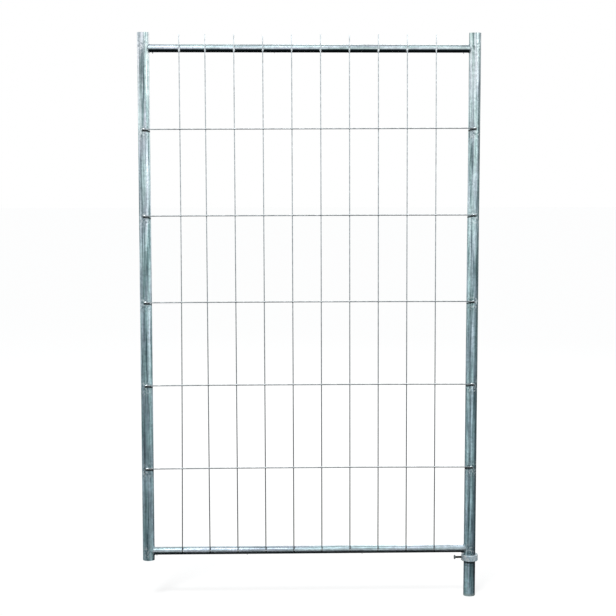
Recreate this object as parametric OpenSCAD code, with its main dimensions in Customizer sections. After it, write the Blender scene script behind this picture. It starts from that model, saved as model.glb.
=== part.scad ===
// Leaf of a temporary fence gate: two tube posts, two coped tube rails, a welded
// wire mesh, and a clamp collar on the hinge post above its ground stub.
// The origin is on the hinge post's axis at its lower end, on the ground side.
// +X runs away from the latch post, -Y is the front, where the mesh lies.

/* [Leaf] */
// Width over both posts
overall_w = 1200; // [900:10:1500]
// Length of the hinge post, stub included
hinge_post_l = 2015; // [1900:5:2200]
// Height of the latch post's lower end above the stub's end
latch_foot_z = 141; // [130:1:150]
// Height of the bottom rail's axis above the stub's end
bottom_rail_z = 173; // [168:0.5:195]
// Distance from the post tops down to the top rail's axis
top_rail_drop = 55; // [40:1:80]

/* [Tubes] */
// Outside diameter of both posts
post_d = 42; // [40:0.5:48]
// Wall of the post tubes
post_wall = 1.5; // [1:0.1:3]
// Outside diameter of both rails
rail_d = 28; // [25:0.5:32]
// Wall of the rail tubes
rail_wall = 1.5; // [1:0.1:2.5]
// Leg of the weld bead where a rail meets a post
bead_leg = 2; // [1.5:0.1:3]
// Steps that round the face of a weld bead
bead_steps = 3; // [1:1:4]
// Diameter of the vent that joins each rail's inside to its post's inside
vent_d = 10; // [6:0.5:14]

/* [Mesh] */
// Diameter of the upright wires
upright_wire_d = 3.5; // [3:0.1:4]
// Diameter of the cross wires
cross_wire_d = 4; // [3.5:0.1:5]
// Distance between upright wires
upright_pitch = 100; // [80:1:104]
// Distance from the latch post's axis to the first upright wire
first_upright_x = 120.5; // [60:0.5:160]
// Least distance from the last upright wire to the hinge post's axis
last_upright_gap = 100; // [60:5:160]
// Number of cross wires
cross_count = 5; // [3:1:5]
// Distance between cross wires
cross_pitch = 300; // [200:5:305]
// Height of the lowest cross wire above the stub's end
first_cross_z = 478; // [440:1:500]
// How far the upright wires stop below the post tops
upright_top_gap = 7; // [4:1:12]
// How far the upright wires run down past the bottom rail's axis
upright_tail = 4; // [2:0.5:8]
// How far the upright wires stay straight past the outer cross wires
flex_past = 15; // [10:1:40]
// How far the cross wires run past each post's axis
cross_tail = 7; // [4:0.5:9]
// Width of the weld spot that holds a wire to a tube
spot_d = 8; // [7:0.5:10]
// Depth that crossing wires melt into each other
melt = 0.4; // [0.2:0.1:0.8]

/* [Collar] */
// Outside diameter of the clamp collar
collar_d = 60; // [56:1:70]
// Height of the clamp collar
collar_h = 22; // [18:1:26]
// Chamfer on the collar's edges
collar_chamfer = 1; // [0.5:0.1:1.5]
// Gap between the collar's top and the weld bead above it
collar_gap = 5; // [5:0.5:10]
// Radial clearance between the collar and the post
collar_clearance = 0.25; // [0.15:0.05:0.4]

/* [Clamp screw] */
// Shank diameter of the clamp screw
screw_d = 8; // [6:0.5:9]
// Length of the clamp screw's shank
screw_l = 30; // [26:1:36]
// Width across the flats of the screw's hexagon head
head_af = 13; // [10:0.5:14]
// Height of the screw's head
head_h = 5.3; // [4:0.1:6.4]
// Radial clearance of the screw in its tapped hole
screw_clearance = 0.1; // [0.05:0.05:0.2]
// Gap between the screw's tip and the post
tip_gap = 0.2; // [0.1:0.05:0.3]

/* [Hidden] */

// Zinc film between a wire and the tube that it lies on
film = 0.1;
// Smoothness of everything round, and the few sides of a mesh wire
smooth = 96;
wire_sides = 8;
// Overrun of a cut past the faces that it opens
over = 5;

post_r = post_d / 2;
rail_r = rail_d / 2;
latch_x = -(overall_w - post_d);
top_rail_z = hinge_post_l - top_rail_drop;
rail_zs = [bottom_rail_z, top_rail_z];

// The cross wires lie on the post fronts, with the upright wires behind them. The rails are
// thinner than the posts, so past the outer cross wires the uprights are flexed back to them.
cross_y = -(post_r + film + cross_wire_d / 2);
upright_y = cross_y + (cross_wire_d + upright_wire_d) / 2 - melt;
flexed_y = -(rail_r + film + upright_wire_d / 2);

// A wider leaf has more upright wires, at the same pitch
upright_span = -latch_x - first_upright_x - last_upright_gap;
upright_count = floor(upright_span / upright_pitch) + 1;
upright_xs = [for (i = [0 : upright_count - 1]) latch_x + first_upright_x + i * upright_pitch];
cross_zs = [for (i = [0 : cross_count - 1]) first_cross_z + i * cross_pitch];

collar_top_z = bottom_rail_z - rail_r - bead_leg - collar_gap;
screw_z = collar_top_z - collar_h / 2;
tip_x = -(post_r + tip_gap);

zinc = "#a9b7bf";
pale_zinc = "#bcc6cc";
dull_zinc = "#8b969d";

// Upright tube from the height `from` to the height `to`, with a vent behind each rail's end
module post(x, from, to) {
    difference() {
        translate([x, 0, from])
            cylinder(h = to - from, r = post_r, $fn = smooth);
        translate([x, 0, from - over])
            cylinder(h = to - from + 2 * over, r = post_r - post_wall, $fn = smooth);
        for (z = rail_zs)
            along_rail(z, vent_d / 2);
    }
}

// Solid bar along X between the post axes, on a rail's axis
module along_rail(z, r) {
    translate([latch_x, 0, z])
        rotate([0, 90, 0])
            cylinder(h = -latch_x, r = r, $fn = smooth);
}

// Solid bar along Z through the whole leaf, on a post's axis
module along_post(x, r) {
    translate([x, 0, -over])
        cylinder(h = hinge_post_l + 2 * over, r = r, $fn = smooth);
}

// Tube along X with both ends coped to the posts
module rail(z) {
    difference() {
        along_rail(z, rail_r);
        along_rail(z, rail_r - rail_wall);
        along_post(latch_x, post_r);
        along_post(0, post_r);
    }
}

// Bead that follows the saddle where a rail meets the post at x: round in section, in a few steps
module saddle_bead(x, z) {
    difference() {
        for (i = [0 : bead_steps - 1]) {
            turn = 90 * (i + 0.5) / bead_steps;
            intersection() {
                along_rail(z, rail_r + bead_leg * cos(turn));
                along_post(x, post_r + bead_leg * sin(turn));
            }
        }
        along_rail(z, rail_r);
        along_post(x, post_r);
    }
}

// One upright wire: its section stands at each [y, z] of the wire's line, joined by flat sides
module upright_wire(x) {
    line = [
        [flexed_y, bottom_rail_z - upright_tail],
        [flexed_y, bottom_rail_z],
        [upright_y, cross_zs[0] - flex_past],
        [upright_y, cross_zs[cross_count - 1] + flex_past],
        [flexed_y, top_rail_z],
        [flexed_y, hinge_post_l - upright_top_gap]
    ];
    r = upright_wire_d / 2;
    n = wire_sides;
    last = n * (len(line) - 1);
    polyhedron(
        points = [for (p = line) for (i = [0 : n - 1])
            [x + r * cos(360 * i / n), p[0] + r * sin(360 * i / n), p[1]]],
        faces = concat(
            [[for (i = [0 : n - 1]) i]],
            [for (k = [0 : n : last - n]) for (i = [0 : n - 1])
                [k + i, k + n + i, k + n + (i + 1) % n, k + (i + 1) % n]],
            [[for (i = [n - 1 : -1 : 0]) last + i]]
        )
    );
}

// One cross wire
module cross_wire(z) {
    translate([latch_x - cross_tail, cross_y, z])
        rotate([0, 90, 0])
            cylinder(h = -latch_x + 2 * cross_tail, d = cross_wire_d, $fn = wire_sides);
}

// Weld spot under a wire whose axis lies at y: a stub of metal from inside the tube to that axis
module spot(x, y, z) {
    translate([x, y, z])
        rotate([-90, 0, 0])
            cylinder(h = spot_d, d = spot_d, $fn = smooth / 2);
}

// The spots that hold the upright wires to the rail at height z
module rail_spots(z) {
    difference() {
        for (x = upright_xs)
            spot(x, flexed_y, z);
        along_rail(z, rail_r);
        for (x = upright_xs)
            upright_wire(x);
    }
}

// The spots that hold the cross wires to the post at x
module post_spots(x) {
    difference() {
        for (z = cross_zs)
            spot(x, cross_y, z);
        along_post(x, post_r);
        for (z = cross_zs)
            cross_wire(z);
    }
}

module hinge_post() {
    color(zinc)
        post(0, 0, hinge_post_l);
}

module latch_post() {
    color(zinc)
        post(latch_x, latch_foot_z, hinge_post_l);
}

module top_rail() {
    color(zinc)
        rail(top_rail_z);
}

module bottom_rail() {
    color(zinc)
        rail(bottom_rail_z);
}

module wire_mesh() {
    color(pale_zinc)
        union() {
            for (x = upright_xs)
                upright_wire(x);
            for (z = cross_zs)
                cross_wire(z);
        }
}

module top_hinge_weld() {
    color(dull_zinc)
        saddle_bead(0, top_rail_z);
}

module top_latch_weld() {
    color(dull_zinc)
        saddle_bead(latch_x, top_rail_z);
}

module bottom_hinge_weld() {
    color(dull_zinc)
        saddle_bead(0, bottom_rail_z);
}

module bottom_latch_weld() {
    color(dull_zinc)
        saddle_bead(latch_x, bottom_rail_z);
}

module top_rail_wire_welds() {
    color(dull_zinc)
        rail_spots(top_rail_z);
}

module bottom_rail_wire_welds() {
    color(dull_zinc)
        rail_spots(bottom_rail_z);
}

module hinge_post_wire_welds() {
    color(dull_zinc)
        post_spots(0);
}

module latch_post_wire_welds() {
    color(dull_zinc)
        post_spots(latch_x);
}

// Ring turned from thick tube, with chamfered edges and a tapped hole facing the leaf
module collar_ring() {
    outer = collar_d / 2;
    inner = post_r + collar_clearance;
    c = collar_chamfer;
    color(pale_zinc)
        difference() {
            translate([0, 0, collar_top_z - collar_h])
                rotate_extrude($fn = smooth)
                    polygon([
                        [inner + c, 0],
                        [outer - c, 0],
                        [outer, c],
                        [outer, collar_h - c],
                        [outer - c, collar_h],
                        [inner + c, collar_h],
                        [inner, collar_h - c],
                        [inner, c]
                    ]);
            translate([0, 0, screw_z])
                rotate([0, -90, 0])
                    cylinder(h = collar_d, r = screw_d / 2 + screw_clearance, $fn = smooth / 2);
        }
}

// Hexagon screw that clamps the collar to the post
module collar_screw() {
    shank_r = screw_d / 2;
    head_r = head_af / 2 / cos(30);
    point = shank_r / 4;
    color(dull_zinc)
        translate([tip_x, 0, screw_z])
            rotate([0, -90, 0])
                union() {
                    cylinder(h = point, r1 = shank_r - point, r2 = shank_r, $fn = smooth / 2);
                    translate([0, 0, point])
                        cylinder(h = screw_l - point, r = shank_r, $fn = smooth / 2);
                    translate([0, 0, screw_l])
                        intersection() {
                            cylinder(h = head_h, r = head_r, $fn = 6);
                            cylinder(h = head_h, r1 = head_r + head_h, r2 = head_af / 2, $fn = smooth / 2);
                        }
                }
}

hinge_post();
latch_post();
top_rail();
bottom_rail();
wire_mesh();
top_hinge_weld();
top_latch_weld();
bottom_hinge_weld();
bottom_latch_weld();
top_rail_wire_welds();
bottom_rail_wire_welds();
hinge_post_wire_welds();
latch_post_wire_welds();
collar_ring();
collar_screw();
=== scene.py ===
# Dresses the fence gate leaf: round wires, weld beads, a threaded clamp screw,
# zinc finishes, and a plain pale studio. Metres; the leaf's front is -Y, Z is up.
import math

import bpy
import numpy as np
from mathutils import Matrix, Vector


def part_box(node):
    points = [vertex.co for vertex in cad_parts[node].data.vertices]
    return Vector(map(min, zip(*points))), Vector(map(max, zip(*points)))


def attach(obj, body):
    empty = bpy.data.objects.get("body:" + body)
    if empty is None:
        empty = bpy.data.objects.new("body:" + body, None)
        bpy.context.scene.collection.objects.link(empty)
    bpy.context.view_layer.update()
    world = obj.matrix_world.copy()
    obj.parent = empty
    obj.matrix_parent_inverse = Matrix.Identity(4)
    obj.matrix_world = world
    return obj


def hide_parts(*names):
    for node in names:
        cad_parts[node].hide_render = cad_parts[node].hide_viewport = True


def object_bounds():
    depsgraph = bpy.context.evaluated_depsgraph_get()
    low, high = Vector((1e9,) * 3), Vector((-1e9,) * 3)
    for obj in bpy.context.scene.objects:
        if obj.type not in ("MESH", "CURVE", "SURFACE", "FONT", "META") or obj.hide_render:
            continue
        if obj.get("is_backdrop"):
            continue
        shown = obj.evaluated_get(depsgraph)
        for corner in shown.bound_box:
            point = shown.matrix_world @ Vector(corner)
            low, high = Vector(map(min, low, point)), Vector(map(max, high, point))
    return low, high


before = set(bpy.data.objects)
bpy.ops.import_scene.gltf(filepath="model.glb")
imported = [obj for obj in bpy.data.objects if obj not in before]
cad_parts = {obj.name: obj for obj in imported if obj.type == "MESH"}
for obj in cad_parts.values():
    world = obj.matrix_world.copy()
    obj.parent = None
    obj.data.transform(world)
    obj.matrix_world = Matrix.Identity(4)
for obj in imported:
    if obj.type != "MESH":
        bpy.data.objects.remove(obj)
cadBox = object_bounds()
mm = 0.001
print("frame loaded:", len(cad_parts), "nodes")


def linearColour(hexCode):
    # sRGB hex to linear: v/12.92 up to 0.04045, else ((v + 0.055)/1.055)^2.4
    value = np.array([int(hexCode[i:i + 2], 16) for i in (1, 3, 5)]) / 255
    linear = np.where(value <= 0.04045, value / 12.92, ((value + 0.055) / 1.055) ** 2.4)
    return (*linear.tolist(), 1.0)


def addNode(tree, kind, inputs=None, stops=None, **settings):
    # adds one node: plain values go on its sockets, nodes and sockets are linked,
    # and stops are a colour ramp's (place, colour) pairs
    node = tree.nodes.new(kind)
    for name, value in settings.items():
        setattr(node, name, value)
    for key, value in (inputs or {}).items():
        if isinstance(value, bpy.types.Node):
            value = value.outputs[0]
        if isinstance(value, bpy.types.NodeSocket):
            tree.links.new(value, node.inputs[key])
        else:
            node.inputs[key].default_value = value
    for index, (place, colour) in enumerate(stops or []):
        ramp = node.color_ramp.elements
        element = ramp[index] if index < 2 else ramp.new(place)
        element.position = place
        element.color = colour
    return node


def newMaterial(name):
    material = bpy.data.materials.new(name)
    material.use_nodes = True
    material.node_tree.nodes.clear()
    return material, material.node_tree


def gridPiece(name, grid, loop=False, sharp=None):
    # grid is (copies, rings, sides, 3). Each ring joins round to itself and to the
    # next ring; the last ring joins the first where loop is true, and otherwise a
    # point at the middle of each end ring closes the end. The sum of corner . (corner
    # x corner) over the faces is six times the volume: below 0, the faces are turned.
    copies, rings, sides, _ = grid.shape
    corner = np.arange(copies * rings * sides).reshape(copies, rings, sides)
    here, ahead = (corner, np.roll(corner, -1, 1)) if loop else (corner[:, :-1], corner[:, 1:])
    quads = np.stack([here, np.roll(here, -1, 2), np.roll(ahead, -1, 2), ahead], -1)
    quads = quads.reshape(-1, 4)
    points = grid.reshape(-1, 3)
    ends = np.zeros((0, 3), int)
    if not loop:
        first = len(points) + 2 * np.arange(copies)[:, None] + np.zeros((1, sides), int)
        start, end = corner[:, 0], corner[:, -1]
        low = np.stack([np.roll(start, -1, 1), start, first], -1)
        high = np.stack([end, np.roll(end, -1, 1), first + 1], -1)
        points = np.concatenate([points, grid[:, [0, -1]].mean(2).reshape(-1, 3)])
        ends = np.concatenate([low.reshape(-1, 3), high.reshape(-1, 3)])
    triangles = np.concatenate([quads[:, [0, 1, 2]], quads[:, [0, 2, 3]], ends])
    corners = (points - points.mean(0))[triangles]
    volume = np.einsum("ij,ij->", corners[:, 0], np.cross(corners[:, 1], corners[:, 2]))
    turned = -1 if volume < 0 else 1
    mesh = bpy.data.meshes.new(name)
    mesh.from_pydata(points.tolist(), [],
                     quads[:, ::turned].tolist() + ends[:, ::turned].tolist())
    mesh.polygons.foreach_set("use_smooth", np.ones(len(mesh.polygons), bool))
    if sharp:
        mesh.set_sharp_from_angle(angle=math.radians(sharp))
    mesh.update()
    piece = bpy.data.objects.new(name, mesh)
    bpy.context.scene.collection.objects.link(piece)
    return piece


def finishPiece(piece, material, slot, body, *nodes):
    piece.data.materials.append(material)
    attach(piece, body)
    if nodes:
        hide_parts(*nodes)


hingeLow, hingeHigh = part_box("hinge_post")
latchLow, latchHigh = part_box("latch_post")
topLow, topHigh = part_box("top_rail")
bottomLow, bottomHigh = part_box("bottom_rail")
meshLow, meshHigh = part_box("wire_mesh")
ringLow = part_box("collar_ring")[0]
screwLow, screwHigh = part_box("collar_screw")

postRadius = (hingeHigh.x - hingeLow.x) / 2
hingeX = (hingeHigh.x + hingeLow.x) / 2
latchX = (latchHigh.x + latchLow.x) / 2
railRadius = (topHigh.z - topLow.z) / 2
topRailZ = (topHigh.z + topLow.z) / 2
bottomRailZ = (bottomHigh.z + bottomLow.z) / 2
leafTop = hingeHigh.z

view = {
    "spot": (-0.758, -5.641, 1.671),    # where the camera stands
    "turn": 1.76,                       # degrees to the right of straight ahead
    "dip": 6.28,                        # degrees below level
    "roll": 0.01,
    "lens": 93.5,
}
cameraData = bpy.data.cameras.new("camera")
cameraData.lens = view["lens"]
cameraData.sensor_width = 36
camera = bpy.data.objects.new("camera", cameraData)
camera.location = view["spot"]
camera.rotation_euler = (math.radians(90 - view["dip"]), math.radians(view["roll"]),
                         math.radians(-view["turn"]))
bpy.context.scene.collection.objects.link(camera)
bpy.context.scene.camera = camera
bpy.context.scene.view_settings.view_transform = "Standard"

studio = {
    "floorSize": 60.0,
    "floorHeight": -0.2 * mm,   # just below the foot of the leaf
    "floorColour": "#f2f3f3",
    "floorGlow": 0.80,          # how much of the floor is plain white; the rest takes shadow
    "fill": 0.45,               # the room's own light on dull surfaces
    "fillColour": "#f1f3f5",
    "groundSize": 50.0,
    "groundHeight": 0.2 * mm,
    # the ground that only the metal's reflections show: metres from the leaf's middle, tone
    "groundTones": [(0.6, "#0b0f12"), (4.5, "#c4cbce"), (9.0, "#e2e7e9"), (16.0, "#f6f8f9")],
}


def flatSquare(name, size, height):
    # a level square: x and y run from -size/2 to size/2, z is fixed
    side = np.array([-0.5, 0.5]) * size
    x, y = np.meshgrid(side, side)
    points = np.stack([x, y, np.full_like(x, height)], -1).reshape(-1, 3)
    mesh = bpy.data.meshes.new(name)
    mesh.from_pydata(points.tolist(), [], [(0, 1, 3, 2)])
    square = bpy.data.objects.new(name, mesh)
    bpy.context.scene.collection.objects.link(square)
    square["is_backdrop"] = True
    return square


def shownWhite(tree):
    # 1 for rays from the camera, in reflections and through glass, else 0
    path = addNode(tree, "ShaderNodeLightPath")
    either = addNode(tree, "ShaderNodeMath", operation="MAXIMUM",
                     inputs={0: path.outputs["Is Camera Ray"], 1: path.outputs["Is Glossy Ray"]})
    return addNode(tree, "ShaderNodeMath", operation="MAXIMUM",
                   inputs={0: either, 1: path.outputs["Is Transmission Ray"]})


world = bpy.data.worlds.new("studio")
bpy.context.scene.world = world
world.use_nodes = True
tree = world.node_tree
tree.nodes.clear()
fill = addNode(tree, "ShaderNodeBackground", {"Color": linearColour(studio["fillColour"]),
                                              "Strength": studio["fill"]})
white = addNode(tree, "ShaderNodeBackground", {"Color": (1, 1, 1, 1), "Strength": 1.0})
mixed = addNode(tree, "ShaderNodeMixShader", {0: shownWhite(tree), 1: fill, 2: white})
addNode(tree, "ShaderNodeOutputWorld", {0: mixed})

floor = flatSquare("floor", studio["floorSize"], studio["floorHeight"])
floorMaterial, tree = newMaterial("paleFloor")
dull = addNode(tree, "ShaderNodeBsdfDiffuse", {"Color": linearColour(studio["floorColour"])})
plainWhite = addNode(tree, "ShaderNodeEmission", {"Color": (1, 1, 1, 1), "Strength": 1.0})
share = addNode(tree, "ShaderNodeMath", {0: shownWhite(tree), 1: studio["floorGlow"]},
                operation="MULTIPLY")
floorMix = addNode(tree, "ShaderNodeMixShader", {0: share, 1: dull, 2: plainWhite})
addNode(tree, "ShaderNodeOutputMaterial", {0: floorMix})
floor.data.materials.append(floorMaterial)

ground = flatSquare("dark_ground_card", studio["groundSize"], studio["groundHeight"])
groundMaterial, tree = newMaterial("darkGroundCard")
place = addNode(tree, "ShaderNodeTexCoord").outputs["Object"]
centred = addNode(tree, "ShaderNodeVectorMath", {0: place, 1: ((hingeX + latchX) / 2, 0, 0)},
                  operation="SUBTRACT")
reach = addNode(tree, "ShaderNodeVectorMath", {0: centred}, operation="LENGTH").outputs["Value"]
farReach = studio["groundTones"][-1][0]
farness = addNode(tree, "ShaderNodeMapRange", {"Value": reach, "From Max": farReach})
groundTone = addNode(tree, "ShaderNodeValToRGB", {0: farness}, stops=[
    (metres / farReach, linearColour(shade)) for metres, shade in studio["groundTones"]])
dark = addNode(tree, "ShaderNodeEmission", {"Color": groundTone, "Strength": 1.0})
addNode(tree, "ShaderNodeOutputMaterial", {0: dark})
ground.data.materials.append(groundMaterial)
ground.visible_camera = False
ground.visible_diffuse = False
ground.visible_shadow = False
ground.visible_transmission = False

lamps = {       # name: kind, place, aim, size in metres or degrees, watts or strength
    "sun": ("SUN", (-2.4, -4.6, 7.5), (-0.6, 0.0, 0.0), 14.0, 2.4),
    "sideLamp": ("AREA", (3.4, -2.2, 2.8), (-0.6, 0.0, 1.0), 2.0, 40.0),
    "backLamp": ("AREA", (0.6, 4.2, 4.2), (-0.6, 0.0, 1.0), 2.6, 110.0),
}
for name, (kind, spot, aim, size, strength) in lamps.items():
    lampData = bpy.data.lights.new(name, kind)
    lampData.energy = strength
    if kind == "SUN":
        lampData.angle = math.radians(size)
    else:
        lampData.size = size
    lamp = bpy.data.objects.new(name, lampData)
    lamp.location = spot
    towards = np.array(aim) - np.array(spot)
    lamp.rotation_euler = (math.atan2(math.hypot(towards[0], towards[1]), -towards[2]), 0,
                           math.atan2(towards[1], towards[0]) - math.pi / 2)
    bpy.context.scene.collection.objects.link(lamp)
print("camera, floor and lamps placed")

wires = {
    "uprightRadius": 1.75 * mm,
    "crossRadius": 2.0 * mm,
    "melt": 0.4 * mm,           # how deep crossing wires sink into each other
    "firstX": 120.5 * mm,       # from the latch post's axis to the first upright
    "pitchX": 100 * mm,
    "firstZ": 478 * mm,
    "pitchZ": 300 * mm,
    "flexPast": 15 * mm,        # straight this far past the outer cross wires
    "sides": 12,
    "rings": 121,
    "uprights": 10,
    # no welded mesh is quite true; x runs from the latch post to the hinge post
    "topLean": -6 * mm,         # the first uprights' tops lean by this in x, the last's doesn't
    "footSpread": 7 * mm,       # the last upright's foot stands off by this, the first ones' don't
    "firstBend": (1, 6, 4),     # mm the first one is bent off at its foot, middle and top
    "crossShift": (-1, -1, -5, 0, 2),   # mm each cross wire sits above its true height
    "crossTilt": 4 * mm,        # how much the top one climbs towards the hinge post
    "crossHump": 2 * mm,        # how high the lowest one bows in its middle
}


def meshDrifts(shape):
    # How far each wire is off at its start, middle and end, in metres. With k from 0 to 1
    # over the uprights, a foot is off by spread k^2 and a top by lean (1 - k^2). With k
    # over the cross wires, one climbs by tilt k^2 and humps by hump (1 - k).
    k = np.linspace(0, 1, shape["uprights"])
    foot, top = shape["footSpread"] * k ** 2, shape["topLean"] * (1 - k ** 2)
    upright = np.stack([foot, (foot + top) / 2, top], -1)
    upright[0] = np.array(shape["firstBend"]) * mm
    k = np.linspace(0, 1, len(shape["crossShift"]))
    shift, climb = np.array(shape["crossShift"]) * mm, shape["crossTilt"] * k ** 2
    middle = shift + climb / 2 + shape["crossHump"] * (1 - k)
    return upright, np.stack([shift, middle, shift + climb], -1)


def drifted(drift, places):
    # the parabola through each wire's three drifts at places 0, 0.5 and 1
    start, middle, end = drift.T[:, :, None]
    return (start * (1 - places) * (1 - 2 * places) + middle * 4 * places * (1 - places)
            + end * places * (2 * places - 1))


def wireStations(rings, length, radius):
    # places from 0 to 1 along a wire and the radius at each: at both ends the last two
    # rings are drawn in a little, so that the sheared end has a rounded edge
    edge = 0.3 * radius / length
    places = np.concatenate([[0, edge / 3], np.linspace(edge, 1 - edge, rings),
                             [1 - edge / 3, 1]])
    size = np.full(len(places), radius)
    size[[0, -1]] = 0.78 * radius
    size[[1, -2]] = 0.93 * radius
    return places, size


def roundWires(paths, radius, sides):
    # round each path point p the wire's skin is p + r (a cos t + b sin t), where a and b
    # are square to the path; paths is (wires, rings, 3)
    along = np.gradient(paths, axis=1)
    along /= np.linalg.norm(along, axis=-1, keepdims=True)
    a = np.cross([0.0, 1.0, 0.0], along)
    a /= np.linalg.norm(a, axis=-1, keepdims=True)
    b = np.cross(along, a)
    turn = np.arange(sides)[:, None] * 2 * np.pi / sides
    circle = a[:, :, None] * np.cos(turn) + b[:, :, None] * np.sin(turn)
    return paths[:, :, None] + circle * radius[None, :, None, None]


crossY = meshLow.y + wires["crossRadius"]
uprightY = crossY + wires["crossRadius"] + wires["uprightRadius"] - wires["melt"]
flexedY = meshHigh.y - wires["uprightRadius"]
uprightDrift, crossDrift = meshDrifts(wires)
uprightX = latchX + wires["firstX"] + wires["pitchX"] * np.arange(len(uprightDrift))
crossZ = wires["firstZ"] + wires["pitchZ"] * np.arange(len(crossDrift))


def uprightLine(z):
    # the uprights' x (one row each) and y at the heights z. y goes from the rail fronts
    # to the mesh plane by s^2 (3 - 2 s), with s from 0 at a rail to 1 by the cross wires.
    places = (z - meshLow.z) / (meshHigh.z - meshLow.z)
    x = uprightX[:, None] + drifted(uprightDrift, places)
    foot = (z - bottomRailZ) / (crossZ[0] - wires["flexPast"] - bottomRailZ)
    head = (topRailZ - z) / (topRailZ - crossZ[-1] - wires["flexPast"])
    s = np.clip(np.minimum(foot, head), 0, 1)
    return x, flexedY + (uprightY - flexedY) * s * s * (3 - 2 * s)


def crossLine(x):
    # the cross wires' z (one row each) at the places x
    places = (x - meshLow.x) / (meshHigh.x - meshLow.x)
    return crossZ[:, None] + drifted(crossDrift, places)


def stripeBands(stripes, strength=1.0):
    # Bands round a tube from stripes along it, each given by its turn from the front and
    # its half width in degrees, and how pale it is. At a turn d away from a stripe of
    # half width w it counts as pale^(strength e^-(d/w)^2), and all are multiplied. The
    # turns are every 8 degrees over the front and further apart behind.
    turns = np.concatenate([[-180, -130], np.arange(-96, 97, 8), [130, 180]])
    at, halfWidth, pale = np.array(stripes, float).T[:, :, None]
    away = (turns - at + 180) % 360 - 180
    share = strength * np.exp(-(away / halfWidth) ** 2)
    return list(zip(turns.tolist(), np.prod(pale ** share, axis=0).tolist()))


# the stripes are partly zinc tone and partly painted reflection, and the shaded side is painted
# shade
# stripes: a pale one, a darker one, a pale one in front, and the shaded side
hingeStripes = [(-45, 15, 1.7), (-20, 10, 0.7), (0, 10, 1.6), (50, 25, 0.25)]
# the stripes are partly zinc tone and partly painted reflection, and the paler side is a painted
# reflection
# a dark stripe left of the front, a fainter one beside it, and the paler side
latchStripes = [(-25, 10, 0.5), (5, 10, 0.7), (40, 20, 1.5)]

hingePostZinc = {           # hot-dip galvanised tube, from its foot to its top
    "along": 2, "from": 0.0, "to": leafTop, "axis": hingeX,
    # paler towards the top: painted light
    "tones": [(0.0, "#90a8b0"), (0.5, "#9cb0b4"), (0.8, "#c8d6d8"), (1.0, "#ccd4d4")],
    "bands": stripeBands(hingeStripes), "topBands": stripeBands(hingeStripes, 0.6),
    "seed": 3.1, "streaks": 0.95, "metal": 0.7, "wireSide": -1,
    "wireHeights": crossLine(np.array([hingeX]))[:, 0],
}
latchPostZinc = dict(
    hingePostZinc, axis=latchX, seed=6.4, wireSide=1,
    wireHeights=crossLine(np.array([latchX]))[:, 0],
    # paler towards the top, near white there: painted light
    tones=[(0.0, "#a4bcc4"), (0.25, "#96acb2"), (0.55, "#b0c2c6"), (0.8, "#d8e2e6"),
           (1.0, "#fcffff")],
    bands=stripeBands(latchStripes), topBands=stripeBands(latchStripes, 0.8))

topRailZinc = {
    "along": 0, "from": latchX, "to": hingeX, "axis": topRailZ,
    "tones": [(0.0, "#cbd2d6"), (0.5, "#cdd3d6"), (1.0, "#cbd3d3")],
    # bands round the rail: a painted highlight along its front and top, and painted shade, near
    # black, underneath
    "bands": [(-180, 0.6), (-120, 0.08), (-90, 0.03), (-40, 0.02), (-20, 0.04), (-12, 0.28),
              (-5, 0.68), (4, 1.02), (12, 0.88), (24, 0.40), (42, 0.36), (65, 0.7),
              (90, 0.8), (180, 0.6)],
    "seed": 8.4, "streaks": 0.6, "metal": 0.95, "wireSide": 0,
}
bottomRailZinc = dict(
    topRailZinc, axis=bottomRailZ, seed=9.7,
    tones=[(0.0, "#ced6dc"), (0.5, "#cad2d8"), (1.0, "#d0d8dc")],
    # bands round the rail: a painted highlight along its front, and painted shade underneath
    bands=[(-180, 0.6), (-120, 0.25), (-90, 0.16), (-50, 0.14), (-25, 0.28), (-5, 0.95),
           (8, 0.95), (22, 0.5), (40, 0.38), (60, 0.46), (90, 0.7), (180, 0.6)])
hingePostZinc["stub"] = {       # below its collar: rubbed by the foot it turns in, with painted shade under the collar
    "top": ringLow.z,
    "waver": 5 * mm,        # how far the edges of the painted shade and the rim go up and down
    "collarShade": 11 * mm,       # how far a dark band of painted shade reaches down from the collar
    "collarShadeShare": 0.94,
    "scuff": 17 * mm,       # a worn line this far below the collar
    "scuffHalf": 1.6 * mm,  # half the line's height
    "scuffShare": 0.5,
    "rim": 12 * mm,         # the foot's pale worn rim
    "rimShare": 0.65,
    "bands": stripeBands([(-20, 15, 1.9), (35, 15, 1.5)]),
}
latchPostZinc["stub"] = {       # below the rail: its right side darkened beside the weld, which is painted shade
    "top": bottomRailZ,
    "bands": stripeBands([(70, 25, 0.2)]),
}

tubePatterns = {    # mm across the tube, mm along it, shift, detail, roughness
    "wideStreaks": (8, 300, 1.0, 3.0, 0.6),     # zinc that ran off along the tube
    "fineStreaks": (3, 120, 2.1, 2.0, 0.5),
    "patches": (15, 150, 3.3, 2.0, 0.5),        # the dull skin's lean in colour
    "runs": (200, 80, 4.7, 3.0, 0.6),           # paler and duller lengths of tube
    "splashes": (6, 8, 5.1, 3.0, 0.6),          # spatter round the wires' welds
    "collarShade": (12, 12, 6.3, 2.0, 0.5),           # the ragged edge of the painted shade under the collar and of the worn rim
}


def bandStops(bands):
    # colour ramp stops for bands round a tube. A paleness p gives red p^1.08, green p and
    # blue p^0.97, so the darker bands are the bluer, and all are halved, as a ramp stops at 1.
    return [(degrees / 360 + 0.5, (pale ** 1.08 / 2, pale / 2, pale ** 0.97 / 2, 1))
            for degrees, pale in bands]


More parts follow.
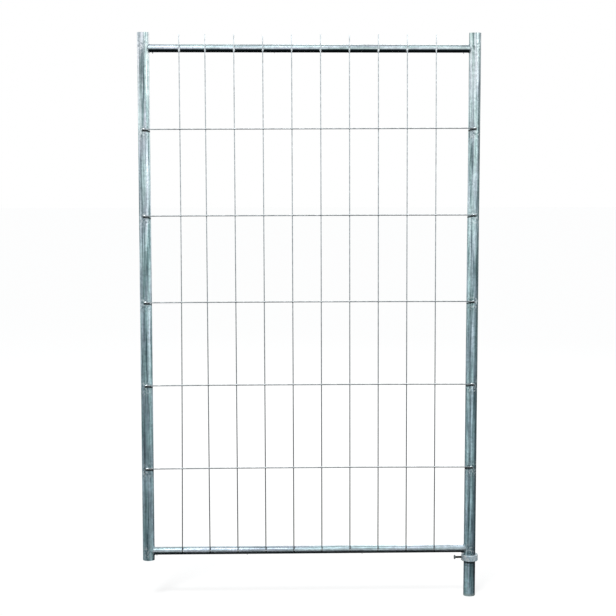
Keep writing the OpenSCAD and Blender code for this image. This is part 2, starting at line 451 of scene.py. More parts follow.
def lowerEnd(tree, stub, height, turnSide, cloud, skin):
    # the part of a post below a height: its own bands, and where it turns in a foot, a
    # dark band of painted shade under the collar, a worn line, and a pale worn rim
    below = addNode(tree, "ShaderNodeMath", {0: height, 1: stub["top"]}, operation="LESS_THAN")
    # the stub's own bands; on the latch post they paint shade down its right side
    bands = addNode(tree, "ShaderNodeValToRGB", {0: turnSide}, stops=bandStops(stub["bands"]))
    stubBands = addNode(tree, "ShaderNodeMix", {0: below, 6: (0.5, 0.5, 0.5, 1), 7: bands},
                     data_type="RGBA")
    doubled = addNode(tree, "ShaderNodeVectorMath", {0: stubBands.outputs[2], "Scale": 2.0},
                      operation="SCALE")
    skin = addNode(tree, "ShaderNodeMix", {0: 1.0, 6: skin, 7: doubled},
                   data_type="RGBA", blend_type="MULTIPLY").outputs[2]
    if "collarShade" not in stub:
        return skin
    waver = addNode(tree, "ShaderNodeMath", {0: cloud, 1: 2 * stub["waver"],
                                             2: -stub["waver"]}, operation="MULTIPLY_ADD")
    wavy = addNode(tree, "ShaderNodeMath", {0: height, 1: waver}, operation="ADD")
    collarShadeFade = addNode(tree, "ShaderNodeMapRange", {
        "Value": wavy, "From Min": stub["top"] - stub["collarShade"],
        "From Max": stub["top"] - 0.5 * stub["collarShade"], "To Max": stub["collarShadeShare"]})
    underCollar = addNode(tree, "ShaderNodeMath", {
        0: height, 1: stub["top"] + 0.3 * stub["collarShade"]}, operation="LESS_THAN")
    collarShade = addNode(tree, "ShaderNodeMath", {0: collarShadeFade, 1: underCollar}, operation="MULTIPLY")
    line = addNode(tree, "ShaderNodeMath", {0: height, 1: stub["top"] - stub["scuff"],
                                            2: stub["scuffHalf"]}, operation="COMPARE")
    scuff = addNode(tree, "ShaderNodeMath", {0: line, 1: stub["scuffShare"]},
                    operation="MULTIPLY")
    worn = addNode(tree, "ShaderNodeMapRange", {"Value": wavy, "From Min": stub["rim"],
                                                "From Max": 0.3 * stub["rim"],
                                                "To Max": stub["rimShare"]})
    # the worn line, the pale worn rim, and the dark painted shade under the collar
    for share, shade in ((scuff, "#33474c"), (worn, "#b4c2bf"), (collarShade, "#0e191c")):
        skin = addNode(tree, "ShaderNodeMix", {0: share, 6: skin, 7: linearColour(shade)},
                       data_type="RGBA").outputs[2]
    return skin


weldMarks = {           # what welding the wires on left on the posts, and the painted shadow under each wire
    "under": 10 * mm,       # splashes lie round a height this far below each weld
    "near": 10 * mm,        # thick this close to it
    "far": 35 * mm,         # and gone this far away
    "frontFrom": 2 * mm,    # they start this far in front of the post's middle
    "frontFull": 14 * mm,   # and are all there this far in front of it
    # the cloud's value where splashes start and where they are full, their share, colour
    "splashes": [(0.53, 0.62, 0.5, "#eef4f5"), (0.46, 0.38, 0.6, "#33474b")],
    "shadowUnder": 4.2 * mm,  # from a wire down to the middle of its painted shadow line
    "shadowHalf": 2.9 * mm,   # half the line's height
    "shadowFrom": -9 * mm,    # where it starts, from the post's middle towards the wire
    "shadowFull": -4 * mm,    # and where it is full
    "shadowShare": 0.92,
    "shadowColour": "#070c0e",
    "droop": 11.0,
    "fray": 4 * mm,
}


def wireMarks(tree, look, height, sideways, frontward, cloud, skin):
    # splashes of paler and darker zinc that welding the wires on left round each weld on a
    # post, and a painted shadow under each wire: a dark line which drops by droop q^2 at q
    # metres from the post's middle and frays up and down
    fromFirst = addNode(tree, "ShaderNodeMath", {
        0: height, 1: wires["firstZ"] - weldMarks["under"]}, operation="SUBTRACT")
    toWeld = addNode(tree, "ShaderNodeMath", {0: fromFirst, 1: wires["pitchZ"] / 2},
                     operation="PINGPONG")
    byWeld = addNode(tree, "ShaderNodeMapRange", {
        "Value": toWeld, "From Min": weldMarks["near"], "From Max": weldMarks["far"],
        "To Min": 1.0, "To Max": 0.0})
    onFront = addNode(tree, "ShaderNodeMapRange", {
        "Value": frontward, "From Min": weldMarks["frontFrom"],
        "From Max": weldMarks["frontFull"]})
    near = addNode(tree, "ShaderNodeMath", {0: byWeld, 1: onFront}, operation="MULTIPLY")
    for low, high, most, shade in weldMarks["splashes"]:
        splash = addNode(tree, "ShaderNodeMapRange", {"Value": cloud, "From Min": low,
                                                      "From Max": high, "To Max": most})
        share = addNode(tree, "ShaderNodeMath", {0: near, 1: splash}, operation="MULTIPLY")
        skin = addNode(tree, "ShaderNodeMix", {0: share, 6: skin, 7: linearColour(shade)},
                       data_type="RGBA").outputs[2]
    # painted shadow: a dark line under each wire on the post, dropping as the post curves away
    square = addNode(tree, "ShaderNodeMath", {0: sideways, 1: sideways}, operation="MULTIPLY")
    dropped = addNode(tree, "ShaderNodeMath", {0: square, 1: weldMarks["droop"], 2: height},
                      operation="MULTIPLY_ADD")
    fray = addNode(tree, "ShaderNodeMath", {0: cloud, 1: 2 * weldMarks["fray"],
                                            2: -weldMarks["fray"]}, operation="MULTIPLY_ADD")
    level = addNode(tree, "ShaderNodeMath", {0: dropped, 1: fray}, operation="ADD")
    line = 0.0
    for wireHeight in look["wireHeights"]:
        atWire = addNode(tree, "ShaderNodeMath", {
            0: level, 1: wireHeight - weldMarks["shadowUnder"], 2: weldMarks["shadowHalf"]},
            operation="COMPARE")
        line = addNode(tree, "ShaderNodeMath", {0: line, 1: atWire}, operation="ADD")
    inward = addNode(tree, "ShaderNodeMath", {0: sideways, 1: look["wireSide"]},
                     operation="MULTIPLY")
    onWire = addNode(tree, "ShaderNodeMapRange", {
        "Value": inward, "From Min": weldMarks["shadowFrom"], "From Max": weldMarks["shadowFull"],
        "To Max": weldMarks["shadowShare"]})
    inFront = addNode(tree, "ShaderNodeMath", {0: frontward, 1: 0.0}, operation="GREATER_THAN")
    shown = addNode(tree, "ShaderNodeMath", {0: onWire, 1: inFront}, operation="MULTIPLY")
    # the share of the painted shadow line
    scale = addNode(tree, "ShaderNodeMath", {0: line, 1: shown}, operation="MULTIPLY")
    return addNode(tree, "ShaderNodeMix", {
        0: scale, 6: skin, 7: linearColour(weldMarks["shadowColour"])},
        data_type="RGBA").outputs[2]


def zincTube(name, look):
    # Hot-dip galvanised steel tube: zinc frozen as it ran off, so it is streaked along
    # the tube in paler and darker bands, with spangle cells, a dull skin that leans to
    # green or lavender, and splashes where wires were welded on. Bands by the turn round
    # the tube add painted highlight, reflection and shade, and under each welded wire on a
    # post lies a painted shadow line.
    material, tree = newMaterial(name)
    place = addNode(tree, "ShaderNodeTexCoord").outputs["Object"]
    split = addNode(tree, "ShaderNodeSeparateXYZ", {0: place})
    seed = look["seed"]
    clouds = {}
    for pattern, (across, along, shift, detail, roughness) in tubePatterns.items():
        scale = [1 / (across * mm)] * 3
        scale[look["along"]] = 1 / (along * mm)
        moved = addNode(tree, "ShaderNodeMapping", {
            "Vector": place, "Scale": scale,
            "Location": (seed * shift, seed * 0.7, seed * 1.3 * shift)})
        clouds[pattern] = addNode(tree, "ShaderNodeTexNoise", {
            "Vector": moved, "Scale": 1.0, "Detail": detail, "Roughness": roughness})

    # tones along the tube; on the posts paler towards the top, which is painted light
    length = addNode(tree, "ShaderNodeMapRange", {
        "Value": split.outputs[look["along"]], "From Min": look["from"], "From Max": look["to"]})
    tone = addNode(tree, "ShaderNodeValToRGB", {0: length},
                   stops=[(at, linearColour(shade)) for at, shade in look["tones"]])
    # the turn round the tube is atan2(sideways, towards the front)
    sideways = addNode(tree, "ShaderNodeMath", {
        0: split.outputs[2 - look["along"]], 1: look["axis"]}, operation="SUBTRACT")
    frontward = addNode(tree, "ShaderNodeMath", {0: split.outputs["Y"], 1: -1.0},
                        operation="MULTIPLY")
    turn = addNode(tree, "ShaderNodeMath", {0: sideways, 1: frontward}, operation="ARCTAN2")
    turnSide = addNode(tree, "ShaderNodeMapRange", {"Value": turn, "From Min": -math.pi,
                                                    "From Max": math.pi})
    upper = addNode(tree, "ShaderNodeMapRange", {"Value": length, "From Min": 0.4,
                                                 "From Max": 0.75})
    # bands by the turn: painted highlight, reflection and shade, and zinc stripes on the posts
    footBands = addNode(tree, "ShaderNodeValToRGB", {0: turnSide},
                        stops=bandStops(look["bands"]))
    topBands = addNode(tree, "ShaderNodeValToRGB", {0: turnSide},
                       stops=bandStops(look.get("topBands", look["bands"])))
    bands = addNode(tree, "ShaderNodeMix", {0: upper, 6: footBands, 7: topBands},
                    data_type="RGBA")
    doubled = addNode(tree, "ShaderNodeVectorMath", {0: bands.outputs[2], "Scale": 2.0},
                      operation="SCALE")

    streaks = addNode(tree, "ShaderNodeMath", {
        0: clouds["wideStreaks"], 1: clouds["fineStreaks"]}, operation="ADD")
    streakSide = addNode(tree, "ShaderNodeMapRange", {"Value": streaks, "From Min": 0.8,
                                                      "From Max": 1.2})
    streakTone = addNode(tree, "ShaderNodeValToRGB", {0: streakSide}, stops=[
        (0.0, linearColour("#5f777a")), (1.0, linearColour("#ffffff")),
        (0.5, linearColour("#d4dadc"))])
    leaning = addNode(tree, "ShaderNodeMapRange", {"Value": clouds["patches"],
                                                   "From Min": 0.38, "From Max": 0.62})
    leanTone = addNode(tree, "ShaderNodeValToRGB", {0: leaning}, stops=[
        (0.0, linearColour("#f4fffc")), (1.0, linearColour("#fdf9ff"))])
    skin = tone.outputs[0]
    for share, shade in ((1.0, doubled), (look["streaks"], streakTone), (1.0, leanTone)):
        skin = addNode(tree, "ShaderNodeMix", {0: share, 6: skin, 7: shade},
                       data_type="RGBA", blend_type="MULTIPLY").outputs[2]

    # spangle cells about 8 mm across, times the paler and duller runs
    spangle = addNode(tree, "ShaderNodeTexVoronoi", {"Vector": place, "Scale": 1 / (8 * mm),
                                                     "Randomness": 1.0})
    cell = addNode(tree, "ShaderNodeSeparateColor", {0: spangle.outputs["Color"]})
    cellTone = addNode(tree, "ShaderNodeMapRange", {"Value": cell.outputs["Red"],
                                                    "To Min": 1.02, "To Max": 1.38})
    runTone = addNode(tree, "ShaderNodeMapRange", {
        "Value": clouds["runs"], "From Min": 0.3, "From Max": 0.7, "To Min": 0.82,
        "To Max": 1.18})
    paleness = addNode(tree, "ShaderNodeMath", {0: cellTone, 1: runTone},
                       operation="MULTIPLY")
    skin = addNode(tree, "ShaderNodeVectorMath", {0: skin, "Scale": paleness},
                   operation="SCALE").outputs[0]
    if look["wireSide"]:
        skin = wireMarks(tree, look, split.outputs["Z"], sideways, frontward,
                         clouds["splashes"], skin)
        skin = lowerEnd(tree, look["stub"], split.outputs["Z"], turnSide, clouds["collarShade"], skin)

    # specks of dirt, about 2 mm; no colour goes past white
    speck = addNode(tree, "ShaderNodeTexNoise", {"Vector": place, "Scale": 1 / (4 * mm),
                                                 "Detail": 4.0, "Roughness": 0.65})
    speckShare = addNode(tree, "ShaderNodeMapRange", {"Value": speck, "From Min": 0.62,
                                                      "From Max": 0.74, "To Max": 0.7})
    dirty = addNode(tree, "ShaderNodeMix", {0: speckShare, 6: skin, 7: linearColour("#36474c")},
                    data_type="RGBA", clamp_result=True)
    rough = addNode(tree, "ShaderNodeMapRange", {
        "Value": streaks, "From Min": 0.74, "From Max": 1.26, "To Min": 0.5, "To Max": 0.34})
    fine = addNode(tree, "ShaderNodeTexNoise", {"Vector": place, "Scale": 1 / (1.5 * mm),
                                                "Detail": 3.0, "Roughness": 0.6})
    relief = addNode(tree, "ShaderNodeMath", {0: streaks, 1: fine}, operation="ADD")
    bump = addNode(tree, "ShaderNodeBump", {"Strength": 0.35, "Distance": 0.6 * mm,
                                            "Height": relief})
    surface = addNode(tree, "ShaderNodeBsdfPrincipled", {
        "Base Color": dirty.outputs[2], "Metallic": look["metal"], "Roughness": rough,
        "Normal": bump})
    addNode(tree, "ShaderNodeOutputMaterial", {0: surface})
    return material


def zincSmall(name, look):
    # Zinc on a small part: grey clouds and a fine grain. tones run from the darkest to
    # the palest, grain is the grain's size in metres, and heights give how pale it is
    # from the floor to the leaf's top. scale is the share of painted shade on the side
    # that faces down, and ledgeShade that of painted shade on ledges that face up.
    material, tree = newMaterial(name)
    place = addNode(tree, "ShaderNodeTexCoord").outputs["Object"]
    moved = addNode(tree, "ShaderNodeMapping", {"Vector": place,
                                                "Location": [look["seed"]] * 3})
    cloud = addNode(tree, "ShaderNodeTexNoise", {"Vector": moved,
                                                 "Scale": 1 / (look["grain"] * 8),
                                                 "Detail": 4.0, "Roughness": 0.6})
    tones = [linearColour(shade) for shade in look["tones"]]
    tone = addNode(tree, "ShaderNodeValToRGB", {0: cloud}, stops=[
        (0.3, tones[0]), (0.7, tones[2]), (0.5, tones[1])])
    fine = addNode(tree, "ShaderNodeTexNoise", {"Vector": moved, "Scale": 1 / look["grain"],
                                                "Detail": 3.0, "Roughness": 0.6})
    fineTone = addNode(tree, "ShaderNodeMapRange", {"Value": fine, "From Min": 0.3,
                                                    "From Max": 0.7, "To Min": 0.8,
                                                    "To Max": 1.12})
    height = addNode(tree, "ShaderNodeMapRange", {
        "Value": addNode(tree, "ShaderNodeSeparateXYZ", {0: place}).outputs["Z"],
        "From Max": leafTop})
    # divided by 3, as a ramp stops at 1
    pale = addNode(tree, "ShaderNodeValToRGB", {0: height}, stops=[
        (at, (value / 3, value / 3, value / 3, 1)) for at, value in look["heights"]])
    paleTone = addNode(tree, "ShaderNodeMath", {0: pale, 1: fineTone}, operation="MULTIPLY")
    tripled = addNode(tree, "ShaderNodeMath", {0: paleTone, 1: 3.0}, operation="MULTIPLY")
    toned = addNode(tree, "ShaderNodeVectorMath", {0: tone, "Scale": tripled},
                    operation="SCALE")
    # painted shade: the side that faces down is darkened
    normal = addNode(tree, "ShaderNodeNewGeometry").outputs["Normal"]
    facing = addNode(tree, "ShaderNodeSeparateXYZ", {0: normal})
    under = addNode(tree, "ShaderNodeMapRange", {"Value": facing.outputs["Z"],
                                                 "From Min": 0.05, "From Max": -0.45,
                                                 "To Max": look["scale"]})
    undersideShaded = addNode(tree, "ShaderNodeMix", {0: under, 6: toned.outputs[0],
                                             7: linearColour("#0f1518")}, data_type="RGBA")
    # painted shade: ledges that face up are darkened
    ledgeShade = addNode(tree, "ShaderNodeMapRange", {"Value": facing.outputs["Z"],
                                                 "From Min": 0.7, "From Max": 0.95,
                                                 "To Max": look.get("ledgeShade", 0.0)})
    ledgeShaded = addNode(tree, "ShaderNodeMix", {0: ledgeShade, 6: undersideShaded.outputs[2],
                                            7: linearColour("#5d686c")}, data_type="RGBA")
    rough = addNode(tree, "ShaderNodeMapRange", {
        "Value": cloud, "From Min": 0.3, "From Max": 0.7,
        "To Min": look["roughness"] + 0.1, "To Max": look["roughness"] - 0.06})
    bump = addNode(tree, "ShaderNodeBump", {"Strength": 0.4, "Distance": look["relief"],
                                            "Height": fine})
    surface = addNode(tree, "ShaderNodeBsdfPrincipled", {
        "Base Color": ledgeShaded.outputs[2], "Metallic": look["metal"], "Roughness": rough,
        "Normal": bump, "Specular IOR Level": look.get("gloss", 0.5)})
    addNode(tree, "ShaderNodeOutputMaterial", {0: surface})
    return material


even = [(0.0, 1.0), (1.0, 1.0)]
uprightZinc = zincSmall("drawnZincWire", {
    "seed": 1.7, "tones": ("#71777a", "#8b9194", "#a9aeb0"), "grain": 0.0015, "metal": 0.9,
    "roughness": 0.42, "relief": 0.0002, "scale": 0.3,
    # darker at the foot and paler at the top: painted light
    "heights": [(0.0, 0.25), (0.3, 0.5), (0.7, 1.6), (0.95, 1.8), (1.0, 2.8)]})
crossZinc = zincSmall("drawnZincCrossWire", {
    "seed": 2.2, "tones": ("#71777a", "#8b9194", "#a9aeb0"), "grain": 0.0015, "metal": 0.9,
    "roughness": 0.42, "relief": 0.0002, "scale": 0.3,
    "heights": [(0.0, 0.8), (1.0, 1.05)]})
beadZinc = zincSmall("zincOverWeldBead", {
    "seed": 5.2, "tones": ("#77868d", "#9aa8ae", "#c2cdd1"), "grain": 0.0012, "metal": 0.8,
    "roughness": 0.5, "relief": 0.0003, "scale": 0.8, "heights": even})
puddleZinc = zincSmall("zincWeldPuddle", {
    "seed": 9.5, "tones": ("#b4bfc4", "#d5dee1", "#f2f6f7"), "grain": 0.0012, "metal": 0.75,
    "roughness": 0.42, "relief": 0.0003, "scale": 0.95, "heights": even})
# the top rail's puddles: near white, a painted highlight, with no painted shade below
highlightPuddleZinc = zincSmall("zincWeldPuddlePaintedHighlight", {
    "seed": 9.5, "tones": ("#d9e2e5", "#f0f5f6", "#ffffff"), "grain": 0.0012, "metal": 0.5,
    "roughness": 0.38, "relief": 0.0003, "scale": 0.0, "heights": [(0.0, 1.3), (1.0, 1.3)]})
ringZinc = zincSmall("zincTurnedRing", {
    "seed": 2.8, "tones": ("#93aab5", "#c6d8e0", "#fafdfe"), "grain": 0.0016, "metal": 0.7,
    "roughness": 0.42, "relief": 0.0004, "scale": 0.6, "ledgeShade": 0.85, "heights": even})
# near black: painted shade, for the dark lump in the corner under the rail
cornerShadeBlack = zincSmall("cornerPaintedShade", {
    "seed": 7.3, "tones": ("#080b0d", "#101517", "#23292c"), "grain": 0.0012, "metal": 0.0,
    "roughness": 0.6, "relief": 0.0004, "scale": 0.6, "gloss": 0.15, "heights": even})
threadBlack = zincSmall("oiledBlackThread", {
    "seed": 4.4, "tones": ("#060809", "#0b0e10", "#171b1e"), "grain": 0.0010, "metal": 0.0,
    "roughness": 0.55, "relief": 0.0001, "scale": 0.5, "gloss": 0.1, "heights": even})
headSteel = zincSmall("wornSteelScrewHead", {
    "seed": 3.9, "tones": ("#33393c", "#565e62", "#858d91"), "grain": 0.0010, "metal": 0.6,
    "roughness": 0.45, "relief": 0.0001, "scale": 0.6, "heights": even})

for nodeName, material in {
        "hinge_post": zincTube("hotDipZincHingePost", hingePostZinc),
        "latch_post": zincTube("hotDipZincLatchPost", latchPostZinc),
        "top_rail": zincTube("hotDipZincTopRail", topRailZinc),
        "bottom_rail": zincTube("hotDipZincBottomRail", bottomRailZinc),
        "collar_ring": ringZinc}.items():
    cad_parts[nodeName].material_slots[0].material = material
print("finishes made")

places, radii = wireStations(wires["rings"], meshHigh.z - meshLow.z, wires["uprightRadius"])
z = meshLow.z + (meshHigh.z - meshLow.z) * places
x, y = uprightLine(z)
paths = np.stack([x, np.broadcast_to(y, x.shape), np.broadcast_to(z, x.shape)], -1)
uprightWires = gridPiece("upright_wires", roundWires(paths, radii, wires["sides"]), sharp=50)

places, radii = wireStations(wires["rings"], meshHigh.x - meshLow.x, wires["crossRadius"])
x = meshLow.x + (meshHigh.x - meshLow.x) * places
z = crossLine(x)
paths = np.stack([np.broadcast_to(x, z.shape), np.full(z.shape, crossY), z], -1)
crossWires = gridPiece("cross_wires", roundWires(paths, radii, wires["sides"]), sharp=50)

knots = {
    "radius": 2.7 * mm,     # of the zinc and weld metal round each crossing
    "corner": 0.32,         # how much further it runs out in the four corners
    "depth": 1.5 * mm,
    "rings": 9,
    "sides": 16,
}


def crossingKnots(shape):
    # a flat bead at each crossing: radius R (1 + c sin^2 2b) sin p at the turn b, and
    # depth h cos p, with p from 0 to half a turn
    crossX = uprightX[:, None] * np.ones(len(crossZ))
    for _ in range(3):      # where each pair of drifted wires meets
        meetZ = crossLine(crossX.ravel()).reshape(len(crossZ), *crossX.shape)
        meetZ = np.einsum("jij->ij", meetZ)
        places = (meetZ - meshLow.z) / (meshHigh.z - meshLow.z)
        crossX = uprightX[:, None] + drifted(uprightDrift, places)
    p = np.linspace(0.02, np.pi - 0.02, shape["rings"])[:, None]
    b = np.arange(shape["sides"]) * 2 * np.pi / shape["sides"]
    out = shape["radius"] * (1 + shape["corner"] * np.sin(2 * b) ** 2) * np.sin(p)
    x = crossX.reshape(-1, 1, 1) + out * np.cos(b)
    z = meetZ.reshape(-1, 1, 1) + out * np.sin(b)
    y = (crossY + uprightY) / 2 + shape["depth"] * np.cos(p) + 0 * x
    return np.stack([x, y, z], -1)


crossingZinc = gridPiece("crossing_zinc", crossingKnots(knots))
for piece, material in ((uprightWires, uprightZinc), (crossWires, crossZinc),
                        (crossingZinc, puddleZinc)):
    finishPiece(piece, material, "wire_zinc", "leaf", "wire_mesh")
print("wire mesh made")

beads = {
    "leg": 1.95 * mm,
    "sunk": 0.7 * mm,           # how far the hidden side goes into the tubes
    "ripple": 3.0 * mm,         # one ripple for each drop of weld metal
    "rippleDepth": 0.10,
    "waver": 0.07,
    "around": 288,
    "across": 24,
}


def saddleBead(postX, side, railZ, seed, shape):
    # The seam where a rail meets a post: at the turn t round the rail, y = r cos t,
    # z = r sin t and x = side sqrt(R^2 - y^2). Round it the bead's skin stands u out from
    # the rail and v out from the post, with (u, v) a circle of radius g in the open
    # quarter that shrinks to the sunk radius behind. g ripples along the seam.
    t = np.arange(shape["around"]) * 2 * np.pi / shape["around"]
    y, z = railRadius * np.cos(t), railRadius * np.sin(t)
    x = side * np.sqrt(postRadius ** 2 - y ** 2)
    seam = np.stack([postX + x, y, railZ + z], -1)
    fromRail = np.stack([0 * t, np.cos(t), np.sin(t)], -1)
    fromPost = np.stack([x / postRadius, y / postRadius, 0 * t], -1)
    steps = np.linalg.norm(np.roll(seam, -1, 0) - seam, axis=1)
    run = np.concatenate([[0], np.cumsum(steps)[:-1]]) / steps.sum()
    ripples = round(steps.sum() / shape["ripple"])
    a = np.arange(shape["across"]) * 2 * np.pi / shape["across"]
    fromMiddle = np.abs((a - np.pi / 4 + np.pi) % (2 * np.pi) - np.pi)
    openShare = np.clip((np.radians(75) - fromMiddle) / np.radians(30), 0, 1)
    openShare = openShare * openShare * (3 - 2 * openShare)
    phase = 2 * np.pi * ripples * run[:, None] + 1.6 * fromMiddle ** 2
    waver = np.sin(2 * t + seed) + 0.6 * np.sin(5 * t + 2.3 * seed)
    leg = shape["leg"] * (1 + shape["rippleDepth"] * (np.cos(phase) - 0.3)
                          + shape["waver"] * (waver[:, None] - 0.6))
    g = shape["sunk"] + (leg - shape["sunk"]) * openShare
    u, v = g * np.cos(a), g * np.sin(a)
    lean = np.sum(fromRail * fromPost, -1)[:, None]
    alongRail = ((u - lean * v) / (1 - lean ** 2))[..., None]
    alongPost = ((v - lean * u) / (1 - lean ** 2))[..., None]
    return seam[:, None] + alongRail * fromRail[:, None] + alongPost * fromPost[:, None]


for node, postX, side, railZ, seed in (
        ("top_hinge_weld", hingeX, -1, topRailZ, 0.4),
        ("top_latch_weld", latchX, 1, topRailZ, 1.9),
        ("bottom_hinge_weld", hingeX, -1, bottomRailZ, 3.1),
        ("bottom_latch_weld", latchX, 1, bottomRailZ, 4.6)):
    grid = saddleBead(postX, side, railZ, seed, beads)
    bead = gridPiece(node.replace("_weld", "_bead"), grid[None], loop=True)
    finishPiece(bead, beadZinc, "weld_zinc", "leaf", node)
print("weld beads made")

puddles = {
    "wide": 3.6 * mm,       # half the width across the wire
    "long": 5.2 * mm,       # half the length along the wire
    "height": 1.7 * mm,
    "sunk": 0.8 * mm,
    "rings": 13,
    "sides": 24,
}
# on the top rail they sag below the rail's front line and cover the wire
topRailPuddles = dict(puddles, wide=3.3 * mm, long=7.0 * mm, height=4.5 * mm, fall=5.0 * mm)
bottomRailPuddles = dict(puddles, fall=0.0)


def weldPuddles(centres, tubeRadius, tubeAxis, alongX, shape, seed):
    # A puddle of weld metal and zinc between a wire and a tube. At the turn b and the
    # share s = sin p of its wavy outline, the front stands h (1 - s^2)^1.5 off the tube's
    # face and the back lies sunk below it; the face is y = -sqrt(R^2 - q^2), where q is
    # the distance from the tube's axis. The long way lies along the wire.
    rng = np.random.default_rng(seed)
    p = np.linspace(0.03, np.pi - 0.03, shape["rings"])[None, :, None]
    b = np.arange(shape["sides"])[None, None] * 2 * np.pi / shape["sides"]
    wave = rng.uniform(0, 2 * np.pi, (len(centres), 2, 1, 1))
    grow = rng.uniform(0.85, 1.12, (len(centres), 1, 1))
    outline = grow * (1 + 0.10 * np.cos(3 * b + wave[:, 0]) + 0.07 * np.cos(5 * b + wave[:, 1]))
    across, along = ((shape["wide"], shape["long"]) if not alongX
                     else (shape["long"], shape["wide"]))
    x = centres[:, 0, None, None] + across * outline * np.sin(p) * np.cos(b)
    z = centres[:, 1, None, None] + along * outline * np.sin(p) * np.sin(b)
    q = (x if alongX else z) - tubeAxis
    bulge = np.where(np.cos(p) > 0, shape["height"] * np.cos(p) ** 3, -shape["sunk"])
    return np.stack([x, -(np.sqrt(tubeRadius ** 2 - q ** 2) + bulge), z], -1)


for node, railZ, shape, material, seed in (
        ("top_rail_wire_welds", topRailZ, topRailPuddles, highlightPuddleZinc, 11),
        ("bottom_rail_wire_welds", bottomRailZ, bottomRailPuddles, puddleZinc, 12)):
    height = railZ - shape["fall"]
    x = uprightLine(np.array([height]))[0][:, 0]
    grid = weldPuddles(np.stack([x, np.full(len(x), height)], -1), railRadius, railZ, False,
                       shape, seed)
    finishPiece(gridPiece(node.replace("welds", "puddles"), grid), material, "weld_zinc",
                "leaf", node)
for node, postX, seed in (("hinge_post_wire_welds", hingeX, 13),
                          ("latch_post_wire_welds", latchX, 14)):
    z = crossLine(np.array([postX]))[:, 0]
    grid = weldPuddles(np.stack([np.full(len(z), postX), z], -1), postRadius, postX, True,
                       puddles, seed)
    finishPiece(gridPiece(node.replace("welds", "puddles"), grid), puddleZinc, "weld_zinc",
                "leaf", node)
print("wire welds made")

screw = {
    "shankRadius": 3.95 * mm,
    "threadDepth": 0.65 * mm,
    "threadPitch": 1.25 * mm,
    "headAcrossFlats": 12.9 * mm,
    "headHeight": 5.3 * mm,
    "sides": 48,
}


def threadedShank(tip, neck, shape):
    # At the distance s from the tip and the turn t the thread's radius is R - d w, where
    # w goes 0, 1, 0 as s / pitch - t / turn passes each whole number; the tip tapers.
    s = np.arange(0, tip - neck, shape["threadPitch"] / 8)
    t = np.arange(shape["sides"]) * 2 * np.pi / shape["sides"]
    cycle = (s[:, None] / shape["threadPitch"] - t / (2 * np.pi)) % 1
    w = np.clip(1.25 * np.abs(2 * cycle - 1) - 0.15, 0, 1)
    radius = shape["shankRadius"] - shape["threadDepth"] * w
    radius = np.minimum(radius, 0.75 * shape["shankRadius"] + s[:, None])
    return np.stack([tip - s[:, None] + 0 * radius, radius * np.cos(t),
                     screwZ + radius * np.sin(t)], -1)


def hexagonHead(neck, end, shape):
    # The head's radius at the turn t is f / cos t', with t' the turn from the nearest
    # flat's middle, cut by a cone at both its edges; a washer face stands before it.
    t = np.arange(shape["sides"]) * 2 * np.pi / shape["sides"]
    height = neck - end
    half = shape["headAcrossFlats"] / 2
    share = np.array([0.0, 0.05, 0.07, 0.12, 0.25, 0.5, 0.75, 0.88, 0.95, 1.0])
    hexagon = half / np.cos((t + np.pi / 6) % (np.pi / 3) - np.pi / 6)
    fromEdge = np.minimum(share, 1 - share)[:, None] * height
    radius = np.minimum(hexagon, 0.97 * half + 1.7 * fromEdge)
    radius[:2] = 0.93 * half
    radius = np.concatenate([radius, np.full((1, len(t)), 0.3 * half)])
    s = np.append(share, 1.0) * height
    return np.stack([neck - s[:, None] + 0 * radius, radius * np.cos(t),
                     screwZ + radius * np.sin(t)], -1)


screwZ = (screwLow.z + screwHigh.z) / 2
screwNeck = screwLow.x + screw["headHeight"]
clampScrew = gridPiece("clamp_screw_thread",
                       threadedShank(screwHigh.x, screwNeck - 0.5 * mm, screw)[None], sharp=32)
screwHead = gridPiece("clamp_screw_head", hexagonHead(screwNeck, screwLow.x, screw)[None],
                      sharp=32)
finishPiece(clampScrew, threadBlack, "screw_zinc", "collar", "collar_screw")
finishPiece(screwHead, headSteel, "screw_zinc", "collar", "collar_screw")
print("clamp screw made")

cornerShade = {              # a near-black lump in the corner under the rail, standing for the shade there: painted shade
    "out": 13.5 * mm,       # from the hinge post's skin along the rail
    "halfWidth": 9.0 * mm,
    "sunk": 1.5 * mm,       # into the post and the rail
    "top": 2.5 * mm,        # it is cut flat this far above the rail's lowest line
    "depth": 1.6 * mm,      # below the rail's lowest line; the collar needs 5 mm of room
    "rings": 25,
    "sides": 32,
}


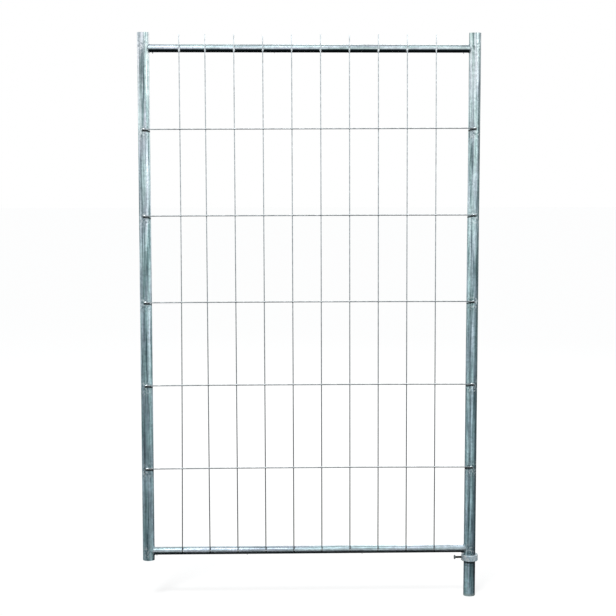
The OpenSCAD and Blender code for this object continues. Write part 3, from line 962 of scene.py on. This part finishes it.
def shadeLump(shape):
    # a lump in the corner: with s from -1 at the post to 1 out along the rail and the turn
    # t round it, y = w r cos t and z = middle + d r sin t, cut flat on top, where
    # r = (1 - |s|^2.4)^0.5 (1 + waves), so it is thickest halfway and closes at both ends
    s = np.linspace(-1, 0.995, shape["rings"])[:, None]
    t = np.arange(shape["sides"]) * 2 * np.pi / shape["sides"]
    waves = 0.06 * np.cos(3 * t + 4 * s) + 0.05 * np.cos(9 * s + 1.0)
    r = np.sqrt(np.clip(1 - np.abs(s) ** 2.4, 0.0004, 1)) * (1 + waves)
    x = hingeX - postRadius - shape["out"] * (0.5 * s + 0.5) + shape["sunk"] + 0 * t
    y = shape["halfWidth"] * r * np.cos(t)
    z = bottomLow.z + shape["sunk"] + (shape["depth"] + shape["sunk"]) * r * np.sin(t)
    return np.stack([x, y, np.minimum(z, bottomLow.z + shape["top"])], -1)


# the dark lump: painted shade under the rail
cornerShadeLump = gridPiece("bottom_hinge_shade_lump", shadeLump(cornerShade)[None])
finishPiece(cornerShadeLump, cornerShadeBlack, "weld_zinc", "leaf")

drips = {                   # where zinc hung as it froze
    "sunk": 0.9 * mm,       # how far a drop starts inside the tube
    "sides": 14,
    # mm: place along the rail, across it, the drop's radius, its length
    "bottomRail": [(29, 1.0, 1.5, 4.5), (354, -1.5, 1.1, 2.8), (769, 2.0, 1.3, 3.4)],
    "topRail": [(33, 0.5, 1.6, 4.2), (456, 1.0, 1.0, 2.6), (1118, -1.0, 1.4, 4.0)],
}


def hangingDrips(drops, top, shape):
    # a drop of length L and radius R hangs from the height top: at the share s down it
    # the radius is R (0.8 + 0.9 (1 - s)^5 + 0.2 sin(pi s)) (1 - s^6)^0.5, so it spreads
    # where it leaves the tube and ends round
    x, y, radius, length = (np.array(drops) * mm).T[:, :, None, None]
    s = np.concatenate([np.linspace(0, 0.9, 12), [0.95, 0.98, 0.995]])[None, :, None]
    turn = np.arange(shape["sides"]) * 2 * np.pi / shape["sides"]
    r = radius * (0.8 + 0.9 * (1 - s) ** 5 + 0.2 * np.sin(np.pi * s)) * np.sqrt(1 - s ** 6)
    x = latchX + x + r * np.cos(turn)
    y = y + r * np.sin(turn)
    z = top + shape["sunk"] - (length + shape["sunk"]) * s + 0 * x
    return np.stack([x, y, z], -1)


for name, top in (("bottomRail", bottomLow.z), ("topRail", topLow.z)):
    drops = gridPiece("drips_" + name, hangingDrips(drips[name], top, drips))
    finishPiece(drops, puddleZinc, "weld_zinc", "leaf")
print("weld run and zinc drips made")

size = {"cad": [list(v) for v in cadBox], "visual": [list(v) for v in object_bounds()]}
